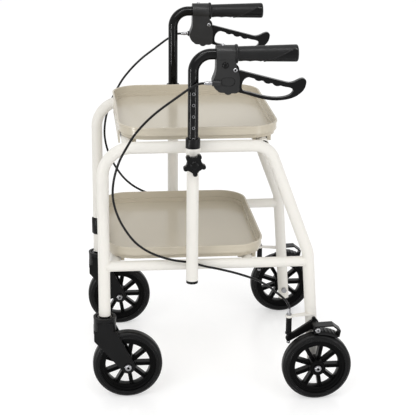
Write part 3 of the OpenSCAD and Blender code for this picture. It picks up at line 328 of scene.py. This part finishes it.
def dress_nodes():
    """Gives every CAD node its material and soft edges. Looks not in the table follow the record's slot."""
    for sub in frame["record"]["subparts"]:
        name = sub["node"]
        obj = NODES[name]
        obj.data.materials.clear()
        obj.data.materials.append(MATS[kind_of(OTHER_LOOKS, name) or sub["material_slot"]].mat)
        width = kind_of(SOFT_EDGES, name)
        if width:
            soften(obj, width)


def soften(obj, width):
    """Joins the CAD mesh's flat triangles into faces and rounds its sharp edges, in modifiers alone."""
    weld_reach, flat_angle, edge_angle, edge_segments = 0.00001, 0.5, 60, 3
    weld = obj.modifiers.new("weld", "WELD")
    weld.merge_threshold = weld_reach
    flat = obj.modifiers.new("flat", "DECIMATE")
    flat.decimate_type, flat.angle_limit = "DISSOLVE", math.radians(flat_angle)
    bevel = obj.modifiers.new("bevel", "BEVEL")
    bevel.width, bevel.segments = width, edge_segments
    bevel.limit_method, bevel.angle_limit = "ANGLE", math.radians(edge_angle)
    bevel.harden_normals = True
    bevel.miter_outer = "MITER_ARC"


# Mesh pieces

def full_turn(steps):
    """Angles of a full turn in equal steps."""
    return [2 * math.pi * k / steps for k in range(steps)]


def smooth_line(points, steps):
    """Points of a smooth line through the given ones."""
    pts = [Vector(p) for p in points]
    out = []
    for i in range(len(pts) - 1):
        a, b, c, d = pts[max(i - 1, 0)], pts[i], pts[i + 1], pts[min(i + 2, len(pts) - 1)]
        for k in range(steps + (i == len(pts) - 2)):
            t = k / steps
            out.append((2 * b + t * (c - a) + t * t * (2 * a - 5 * b + 4 * c - d)
                        + t * t * t * (3 * b - a - 3 * c + d)) / 2)
    return out


def hex_reach(a):
    """How far out a hexagon lies in the direction a, in units of its half width across flats."""
    return 1 / math.cos(a % (math.pi / 3) - math.pi / 6)


def cross_reach(a):
    """How far out a cross-shaped recess lies in the direction a, in units of its arm's length."""
    arm_half_width = 0.34
    t = (a + math.pi / 4) % (math.pi / 2) - math.pi / 4
    return min(1 / math.cos(t), arm_half_width / max(abs(math.sin(t)), 0.01))


class Shape:
    """Collects rings of points into one closed mesh piece."""

    def __init__(self):
        self.verts, self.faces = [], []

    def rows(self, rows, closed=False):
        """Skins rows of points. A row of one point is a tip, and the ends of an open run are capped."""
        index = []
        for row in rows:
            index.append(list(range(len(self.verts), len(self.verts) + len(row))))
            self.verts += [Vector(p) for p in row]
        pairs = list(zip(index, index[1:])) + ([(index[-1], index[0])] if closed else [])
        for a, b in pairs:
            n = max(len(a), len(b))
            for k in range(n):
                m = (k + 1) % n
                if len(a) == 1:
                    self.faces.append((a[0], b[k], b[m]))
                elif len(b) == 1:
                    self.faces.append((a[k], b[0], a[m]))
                else:
                    self.faces.append((a[k], b[k], b[m], a[m]))
        if not closed:
            self.faces += [tuple(r) for r in (index[0], index[-1]) if len(r) > 1]

    def tube(self, path, radius, sides=16, closed=False):
        """A round tube along a path."""
        path = [Vector(p) for p in path]
        along_no_path = Vector((0.31, 0.9, 0.27))
        last, side, rows = len(path) - 1, None, []
        for i, p in enumerate(path):
            before = path[i - 1] if closed else path[max(i - 1, 0)]
            after = path[(i + 1) % len(path)] if closed else path[min(i + 1, last)]
            t = (after - before).normalized()
            side = side or t.cross(along_no_path).normalized()
            side = (side - t * side.dot(t)).normalized()
            up = t.cross(side)
            rows.append([p + radius * (math.cos(a) * side + math.sin(a) * up) for a in full_turn(sides)])
        self.rows(rows, closed)

    def turned(self, place, axis, profile, steps=48, closed=False):
        """A turned form: the profile's points are (along, radius) with an optional reach, which makes the
        ring a hexagon or a cross. A closed profile makes a hoop."""
        place, axis = Vector(place), Vector(axis).normalized()
        u = axis.cross(Vector((0.0, 0.0, 1.0)) if abs(axis.z) < 0.9 else Vector((1.0, 0.0, 0.0))).normalized()
        v = axis.cross(u)
        rows = []
        for along, radius, *reach in profile:
            centre = place + axis * along
            if not radius:
                rows.append([centre])
                continue
            row = []
            for a in full_turn(steps):
                r = radius * (reach[0](a) if reach else 1)
                row.append(centre + r * (math.cos(a) * u + math.sin(a) * v))
            rows.append(row)
        self.rows(rows, closed)

    def make(self, name, mat, body, slot, sharp=32):
        """The mesh object."""
        mesh = bpy.data.meshes.new(name)
        mesh.from_pydata(self.verts, [], self.faces)
        mesh.validate()
        bm = bmesh.new()
        bm.from_mesh(mesh)
        bmesh.ops.recalc_face_normals(bm, faces=bm.faces)
        bm.to_mesh(mesh)
        bm.free()
        mesh.shade_smooth()
        mesh.set_sharp_from_angle(angle=math.radians(sharp))
        mesh.materials.append(MATS[mat].mat)
        obj = bpy.data.objects.new(name, mesh)
        SCENE.collection.objects.link(obj)
        if body:
            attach(obj, body)
        return obj


# The cable's route from lever to brake: millimetres behind the front leg, outward of it and above the floor
CABLE_ROUTE = (
    (188, 59, 701.3), (170, 59, 691), (152, 58.5, 678), (133, 57, 664), (113, 56, 649), (94, 54, 632),
    (77, 52, 614), (62, 50, 595), (48, 47.5, 571), (35, 44.5, 546), (26, 41.5, 520), (20.5, 38.5, 494),
    (19, 36, 467), (23, 33, 440), (32, 31, 413), (46, 28.5, 386), (64, 26.5, 361), (87, 24, 341),
    (115, 22, 326), (148, 20, 315), (183, 20, 309), (212, 20, 300), (245, 20, 292), (283, 20, 281),
    (322, 19.5, 266), (349, 19.5, 250), (367, 19, 235), (381, 19, 223), (390.5, 18.7, 212))


def cables():
    """Brake cables along the CAD route, from the lever housing down to the brake spring."""
    radius, start_x, end_z, end_step = 0.0025, -0.0483, 0.1963, 0.002
    start, end = Vector((start_x, CABLE_IN_Y, CABLE_IN_Z)), Vector((SPRING_X, SPRING_Y, end_z))
    for side, g in SIDES:
        route = [start - Vector((end_step * k, 0, 0)) for k in range(3)]
        route += [Vector((FRONT_X + x / 1000, LEG_Y + y / 1000, z / 1000)) for x, y, z in CABLE_ROUTE]
        route += [end + Vector((0, 0, end_step * k)) for k in (2, 1, 0)]
        shape = Shape()
        shape.tube([(x, g * y, z) for x, y, z in smooth_line(route, steps=6)], radius)
        piece = shape.make(f"{side}_cable_sheath", "cable_sheath", None, "black_rubber", SMOOTH)
        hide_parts(f"{side}_brake_cable")
        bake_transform(piece)


def springs():
    """Return springs over a ribbed boot, and the pull wires with their nipples."""
    coils, coil_steps, low, high, mean_r, wire_r = 10, 24, 0.14295, 0.1761, 0.0056, 0.0009
    boot_foot, first_rib, rib_pitch, boot_shoulder, boot_top = 0.1425, 0.1428, 0.0033, 0.1762, 0.1763
    groove_r, crest_r = 0.0045, 0.0063
    rib = ((0, groove_r), (0.0009, crest_r), (0.0023, crest_r), (0.0032, groove_r))
    ribs = [(boot_foot, 0)]
    for k in range(coils):
        ribs += [(first_rib + rib_pitch * k + up, r) for up, r in rib]
    ribs += [(boot_shoulder, groove_r), (boot_top, 0)]
    wire_and_nipple = [(0.1167, 0), (0.1167, 0.0032), (0.1173, 0.004), (0.1211, 0.004), (0.1217, 0.0033),
                       (0.1217, 0.0008), (0.1955, 0.0008), (0.1955, 0)]
    for side, g in SIDES:
        centre = Vector((SPRING_X, g * SPRING_Y, 0))
        coil = []
        for i in range(coils * coil_steps + 1):
            a = 2 * math.pi * i / coil_steps
            z = low + (high - low) * i / (coils * coil_steps)
            coil.append(centre + Vector((mean_r * math.cos(a), g * mean_r * math.sin(a), z)))
        shape = Shape()
        shape.tube(coil, wire_r, sides=10)
        piece = shape.make(f"{side}_spring_coil", "black_enamel", "frame", "black_enamel", SMOOTH)
        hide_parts(f"{side}_brake_spring")
        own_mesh(piece)

        boot = Shape()
        boot.turned(centre, UP, ribs, steps=32)
        piece = boot.make(f"{side}_spring_boot", "black_rubber", "frame", "black_rubber")
        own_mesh(piece)

        wire = Shape()
        wire.turned(centre, UP, wire_and_nipple, steps=24)
        piece = wire.make(f"{side}_pull_wire", "bright_steel", "frame", "bright_steel")
        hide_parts(f"{side}_brake_wire")
        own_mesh(piece)


def button_head(r, h, socket, depth, reach):
    """Profile of a round screw head with a recess, from its seat to the bottom of the recess."""
    return [(0, 0), (0, r), (0.25 * h, r), (0.6 * h, 0.9 * r), (0.88 * h, 0.74 * r), (h, 0.56 * r),
            (h, socket, reach), (h - depth, socket * 0.96, reach), (h - depth * 1.15, 0)]


def painted_socket_shade(r, h, depth, reach):
    """Profile of a dark piece in a screw head's recess, a little lower than the head. It is painted shade: it
    stands for the shade inside the recess.
    """
    width, edge_drop, middle_drop = 0.94 * r, 0.0003, 0.0004
    return [(h - depth, 0), (h - depth, width, reach), (h - edge_drop, width, reach), (h - middle_drop, 0)]


def lever_fixings():
    """Pivot screws and pins, clamp screws and cable ferrules of the lever housings, with painted shade in the
    pivot screws' recesses.
    """
    screw_r, screw_h, socket_r, socket_depth, shade_depth = 0.0045, 0.0022, 0.0021, 0.0014, 0.0013
    pin_half, pin_r = 0.0148, 0.003
    clamp_x, clamp_sink = -0.009, 0.0006
    clamp_screw = button_head(0.0035, 0.0031, 0.0016, 0.0014, hex_reach)
    ferrule = [(0, 0), (0, 0.0039), (0.0035, 0.0039), (0.0038, 0.0034), (0.0048, 0.0034), (0.0051, 0.0039),
               (0.0105, 0.0039), (0.011, 0.0034), (0.0152, 0.0034), (0.016, 0.0028), (0.016, 0)]
    for side, g in SIDES:
        shape, socket_shade_piece = Shape(), Shape()
        for face in (-1, 1):
            seat = (PIVOT_X, g * STEM_Y + face * (HOUSING_HALF - SINK), PIVOT_Z)
            shape.turned(seat, (0, face, 0), button_head(screw_r, screw_h, socket_r, socket_depth, hex_reach))
            # A dark piece in each pivot screw's recess is painted shade.
            socket_shade_piece.turned(seat, (0, face, 0), painted_socket_shade(socket_r, screw_h, shade_depth, hex_reach))
        shape.turned((PIVOT_X, g * STEM_Y, PIVOT_Z), (0, 1, 0),
                     [(-pin_half, 0), (-pin_half, pin_r), (pin_half, pin_r), (pin_half, 0)], steps=24)
        shape.turned((CABLE_IN_X, g * CABLE_IN_Y, CABLE_IN_Z), (-1, 0, 0), ferrule, steps=32)
        shape.turned((clamp_x, g * STEM_Y, GRIP_Z + CLAMP_R - clamp_sink), UP, clamp_screw, steps=36)
        piece = shape.make(f"{side}_lever_screws", "bright_steel", f"{side}_handle", "bright_steel")
        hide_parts(f"{side}_lever_fixings")
        # These dark pieces are painted shade in the pivot screws' recesses.
        socket_shade_piece.make(f"{side}_lever_socket_shade", "wheel_plastic", f"{side}_handle", "black_plastic")


def bolt_faces():
    """Recessed screw heads on the wheel axles and brake pivots, with painted shade in their recesses."""
    # radius, height, recess radius, recess depth and recess form
    axle_bolt = (0.0056, 0.002, 0.0027, 0.0016, hex_reach)
    brake_bolt = (0.0044, 0.0016, 0.0024, 0.0012, cross_reach)
    for side, g in SIDES:
        front = (FRONT_AXLE_X, g * (LEG_Y + FORK_HALF + BOLT_HEAD), WHEEL_R)
        ends = [v[1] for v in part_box(f"{side}_front_axle")]
        inner = (FRONT_AXLE_X, min(ends, key=abs), WHEEL_R)
        rear = (REAR_X, g * (REAR_WHEEL_Y + HUB_HALF + HUB_GAP + BOLT_HEAD), WHEEL_R)
        brake = (BRAKE_X, g * BRAKE_HEAD_Y, BRAKE_Z)
        for name, body, bolts in (
                ("front_bolt", f"{side}_caster", ((front, g, axle_bolt), (inner, -g, axle_bolt))),
                ("rear_bolts", "frame", ((rear, g, axle_bolt), (brake, g, brake_bolt)))):
            shape, socket_shade_piece = Shape(), Shape()
            for seat, way, (r, h, socket, depth, reach) in bolts:
                shape.turned(seat, (0, way, 0), button_head(r, h, socket, depth, reach))
                # A dark piece in each head's recess is painted shade.
                socket_shade_piece.turned(seat, (0, way, 0), painted_socket_shade(socket, h, depth, reach))
            shape.make(f"{side}_{name}", "bright_steel", body, "bright_steel")
            # The dark recess pieces are painted shade in the screw heads.
            socket_shade_piece.make(f"{side}_{name}_recess", "wheel_plastic", body, "black_plastic")


def wheel_trim():
    """Raised lines on the tyres' side walls, a deep inner rim and a collar round each rear hub."""
    line_radii, line_r, collar_sink = (0.0682, 0.0622), 0.001, 0.0006
    rim_profile = [(-0.0106, 0.0545), (-0.0106, 0.0494), (-0.0102, 0.0484), (-0.0092, 0.048),
                   (0.0092, 0.048), (0.0102, 0.0484), (0.0106, 0.0494), (0.0106, 0.0545)]
    collar_profile = [(0, 0.0086), (0, 0.0138), (0.0012, 0.0134), (0.0018, 0.0126), (0.0018, 0.0094),
                      (0.0012, 0.0086), (0, 0.0086)]
    for side, g in SIDES:
        for end, x, y in (("front", FRONT_AXLE_X, LEG_Y), ("rear", REAR_X, REAR_WHEEL_Y)):
            wheel = f"{side}_{end}_wheel"
            lines = Shape()
            for face in (-1, 1):
                wall = g * y + face * (TYRE_HALF - SINK)
                for r in line_radii:
                    ring = [(x + r * math.cos(a), wall, WHEEL_R + r * math.sin(a)) for a in full_turn(96)]
                    lines.tube(ring, line_r, sides=8, closed=True)
            lines.make(f"{side}_{end}_tyre_lines", "black_enamel", wheel, "tyre", SMOOTH)
            rim = Shape()
            rim.turned((x, g * y, WHEEL_R), (0, 1, 0), rim_profile, steps=96, closed=True)
            rim.make(f"{side}_{end}_inner_rim", "wheel_plastic", wheel, "black_plastic")
            if end == "rear":
                collar = Shape()
                for face in (-1, 1):
                    seat = (x, g * y + face * (HUB_HALF - collar_sink), WHEEL_R)
                    collar.turned(seat, (0, face, 0), collar_profile)
                collar.make(f"{side}_{end}_hub_collar", "wheel_plastic", wheel, "black_plastic")


def grip_radius(x):
    """Radius of a grip at a place x, with its rounded end."""
    r = GRIP_R + GRIP_SWELL * min(1.0, (x - GRIP_TAPER_START) / GRIP_TAPER)
    if x > GRIP_ROUND_START:
        r -= GRIP_ROUND - math.sqrt(max(0.0, GRIP_ROUND ** 2 - (x - GRIP_ROUND_START) ** 2))
    return r


def grip_ridges():
    """The raised diagonal line on both faces of each grip, and the smooth panel below it."""
    first_share, end_gap, steps = 0.46, 0.003, 40
    low, rise = -0.97, 1.8  # the line's height in units of the grip's radius
    ridge_r, panel_steps, panel_up, panel_down = 0.0011, 24, 0.00012, -0.0006
    x0, x1 = GRIP_START + first_share * (GRIP_END - GRIP_START), GRIP_END - end_gap
    line = [(x0 + k / steps * (x1 - x0), math.asin(low + rise * k / steps)) for k in range(steps + 1)]
    for side, g in SIDES:
        ridge, panel, rows = Shape(), Shape(), []
        for face in (-1, 1):
            ridge.tube([(x, g * STEM_Y + face * (grip_radius(x) - SINK) * math.cos(a),
                         GRIP_Z + (grip_radius(x) - SINK) * math.sin(a)) for x, a in line], ridge_r, sides=10)
        for x, a in line:
            half = a + math.pi / 2
            outer = [(-half + 2 * half * k / panel_steps, panel_up) for k in range(panel_steps + 1)]
            inner = [(t, panel_down) for t, _ in reversed(outer)]
            rows.append([(x, g * STEM_Y + (grip_radius(x) + up) * math.sin(t),
                          GRIP_Z - (grip_radius(x) + up) * math.cos(t)) for t, up in outer + inner])
        panel.rows(rows)
        ridge.make(f"{side}_grip_ridges", "black_rubber", f"{side}_handle", "black_rubber", SMOOTH)
        panel.make(f"{side}_grip_panel", "black_enamel", f"{side}_handle", "black_rubber", SMOOTH)


def hole_liners():
    """Bright liners in the height-setting holes, flush with the handle tubes."""
    profile = ((0.00298, 0.00004), (0.0022, 0.00004), (0.0021, 0.0018), (0.00298, 0.0018))  # radius, depth
    for side, g in SIDES:
        shape = Shape()
        for k in HOLE_STEPS:
            for face in (-1, 1):
                z0, rows = KNOB_Z + k * HOLE_PITCH, []
                for r, depth in profile:
                    row = []
                    for a in full_turn(32):
                        dx = r * math.cos(a)
                        out = math.sqrt(HANDLE_R ** 2 - dx * dx) - depth
                        row.append((STEM_X + dx, g * STEM_Y + face * out, z0 + r * math.sin(a)))
                    rows.append(row)
                shape.rows(rows, closed=True)
        shape.make(f"{side}_hole_liners", "bright_steel", f"{side}_handle", "bright_steel")


def weld_beads():
    """Weld seams where the lower rails meet the legs."""
    bead_r = 0.0013
    for side, g in SIDES:
        shape = Shape()
        for leg_x, way, lean in ((FRONT_X, 1, 0), (REAR_LEG_X, -1, REAR_LEG_LEAN)):
            path = []
            for a in full_turn(48):
                y, z = RAIL_R * math.cos(a), RAIL_R * math.sin(a)
                x = leg_x + lean * z + way * math.sqrt(LEG_R ** 2 - y * y)
                path.append((x, g * LEG_Y + y, LOW_RAIL_Z + z))
            shape.tube(path, bead_r, sides=8, closed=True)
        shape.make(f"{side}_weld_beads", "cream_enamel", "frame", "cream_enamel", SMOOTH)


def dome(r, h):
    """Profile of a rounded cap from a little under its seat to its top."""
    under, steps = -0.0005, 10
    angles = [math.pi / 2 * k / steps for k in range(steps)]
    return [(under, 0), (under, r)] + [(h * math.sin(a), r * math.cos(a)) for a in angles] + [(h, 0)]


def caps_and_ovals():
    """Rounded caps on the lever housings and star knobs, and a line round the housings' bare oval recess."""
    cap_x, cap_z, cap_r, cap_h = -0.005, 0.740, 0.0067, 0.0039
    oval_z, oval_r, oval_line_r = 0.706, 0.0085, 0.0004
    oval_ends = ((0.006, -0.5), (-0.005, 0.5))  # place of each half round and its first angle, in units of pi
    knob_r, knob_h, knob_top = 0.0087, 0.00298, 0.003
    for side, g in SIDES:
        wall = g * (STEM_Y + HOUSING_HALF)
        cap = Shape()
        cap.turned((cap_x, wall, cap_z), (0, g, 0), dome(cap_r, cap_h))
        cap.make(f"{side}_housing_cap", "black_lever", f"{side}_handle", "black_plastic", SMOOTH)
        line = []
        for x, start in oval_ends:
            for a in (math.pi * (start + k / ARC_STEPS) for k in range(ARC_STEPS + 1)):
                line.append((x + oval_r * math.cos(a), wall, oval_z + oval_r * math.sin(a)))
        oval = Shape()
        oval.tube(line, oval_line_r, sides=8, closed=True)
        oval.make(f"{side}_housing_oval", "black_lever", f"{side}_handle", "black_plastic", SMOOTH)
        low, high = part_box(f"{side}_star_knob")
        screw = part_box(f"{side}_knob_screw")
        seat = [(a + b) / 2 for a, b in zip(*screw)]
        seat[1] = g * (max(abs(low[1]), abs(high[1])) - knob_top)
        knob = Shape()
        knob.turned(seat, (0, g, 0), dome(knob_r, knob_h))
        knob.make(f"{side}_knob_cap", "black_lever", f"{side}_knob", "black_plastic", SMOOTH)


def tray_beads():
    """A rounded bead along the top of each tray's rim."""
    # inset from the rim's outer edge, height above the rim
    profile = ((0.00003, -0.0004), (0.00003, 0), (0.0004, 0.00045), (0.0011, 0.00075), (0.002, 0.00085),
               (0.0029, 0.00075), (0.0036, 0.00045), (0.00397, 0), (0.00397, -0.0004))
    for tray, front in TRAY_FRONTS.items():
        top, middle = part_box(tray)[1][2], front + TRAY_HALF_D
        rows = []
        for quarter, (cx, cy) in enumerate(((1, 1), (-1, 1), (-1, -1), (1, -1))):
            x0, y0 = middle + cx * (TRAY_HALF_D - TRAY_CORNER), cy * (TRAY_HALF_W - TRAY_CORNER)
            for a in (math.pi / 2 * (quarter + k / ARC_STEPS) for k in range(ARC_STEPS + 1)):
                row = []
                for inset, up in profile:
                    r = TRAY_CORNER - inset
                    row.append((x0 + r * math.cos(a), y0 + r * math.sin(a), top + up))
                rows.append(row)
        shape = Shape()
        shape.rows(rows, closed=True)
        shape.make(f"{tray}_bead", "tray_beige", tray, "tray_beige", SMOOTH)


camera()
materials()
dress_nodes()
cables()
springs()
lever_fixings()
bolt_faces()
wheel_trim()
grip_ridges()
hole_liners()
weld_beads()
caps_and_ovals()
tray_beads()
studio()
